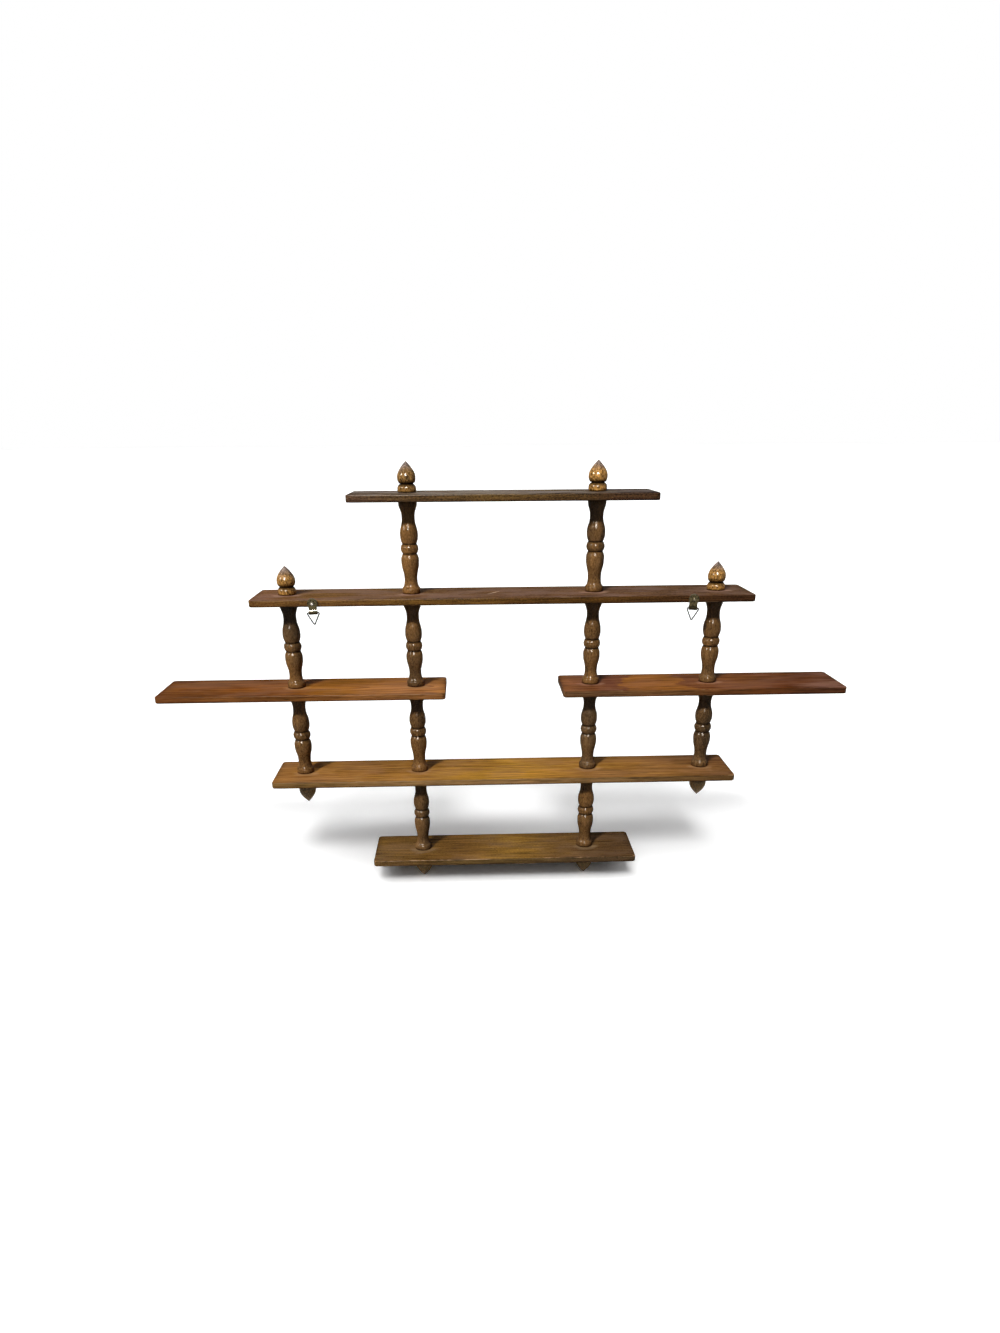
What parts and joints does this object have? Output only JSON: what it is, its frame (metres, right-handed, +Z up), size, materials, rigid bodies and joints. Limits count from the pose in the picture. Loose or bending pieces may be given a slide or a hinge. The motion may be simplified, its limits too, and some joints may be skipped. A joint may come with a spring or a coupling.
{
  "type": "wall-hung etagere",
  "caption": "Wall-hung open etagere: stepped thin wooden shelves on turned spindles with pointed finials, hung by wire-ring hangers on its back edge.",
  "frame": {"origin": "on the wall plane that the back edges lie in, midway between the two hanger screws, at mid thickness of the upper shelf", "axes": "+X along the wall, +Y out from the wall towards the front of the shelves, +Z up"},
  "size_m": [0.8, 0.0803, 0.497],
  "materials": {
    "top_wood": "dark walnut-brown stain under satin lacquer",
    "red_wood": "reddish-brown stain under satin lacquer",
    "golden_wood": "golden-brown stain under satin lacquer, fine straight grain",
    "olive_wood": "olive-brown stain under satin lacquer",
    "spindle_wood": "dark brown stain under glossy lacquer",
    "finial_wood": "golden-brown stain under glossy lacquer",
    "strap_metal": "dull aged plating on folded sheet",
    "ring_metal": "bright plated wire",
    "screw_metal": "bright plated screw"
  },
  "bodies": {
    "shelf_frame": {"top_shelf": "top_wood", "upper_shelf": "top_wood", "left_middle_shelf": "red_wood", "right_middle_shelf": "red_wood", "lower_shelf": "golden_wood", "bottom_shelf": "olive_wood", "crown_inner_spindle_left": "spindle_wood", "upper_inner_spindle_left": "spindle_wood", "upper_outer_spindle_left": "spindle_wood", "lower_inner_spindle_left": "spindle_wood", "lower_outer_spindle_left": "spindle_wood", "base_inner_spindle_left": "spindle_wood", "top_finial_left": "finial_wood", "shoulder_finial_left": "finial_wood", "outer_drop_left": "finial_wood", "inner_drop_left": "finial_wood", "hanger_screw_left": "screw_metal", "crown_inner_spindle_right": "spindle_wood", "upper_inner_spindle_right": "spindle_wood", "upper_outer_spindle_right": "spindle_wood", "lower_inner_spindle_right": "spindle_wood", "lower_outer_spindle_right": "spindle_wood", "base_inner_spindle_right": "spindle_wood", "top_finial_right": "finial_wood", "shoulder_finial_right": "finial_wood", "outer_drop_right": "finial_wood", "inner_drop_right": "finial_wood", "hanger_screw_right": "screw_metal"},
    "strap_left": {"hanger_strap_left": "strap_metal"},
    "ring_left": {"hanger_ring_left": "ring_metal"},
    "strap_right": {"hanger_strap_right": "strap_metal"},
    "ring_right": {"hanger_ring_right": "ring_metal"}
  },
  "joints": [
    {"name": "strap_swivel_left", "type": "hinge", "parent": "shelf_frame", "child": "strap_left", "pos_m": [-0.2102, 0, 0], "axis": [0, -1, 0], "range_deg": [-25, 25]},
    {"name": "ring_swing_left", "type": "hinge", "parent": "strap_left", "child": "ring_left", "pos_m": [-0.20986, -0.0023, -0.00959], "axis": [-0.9994, 0, -0.0349], "range_deg": [-90, 150]},
    {"name": "strap_swivel_right", "type": "hinge", "parent": "shelf_frame", "child": "strap_right", "pos_m": [0.2102, 0, 0], "axis": [0, -1, 0], "range_deg": [-25, 25]},
    {"name": "ring_swing_right", "type": "hinge", "parent": "strap_right", "child": "ring_right", "pos_m": [0.20953, -0.0023, -0.00958], "axis": [-0.9976, 0, 0.0698], "range_deg": [-90, 150]}
  ]
}
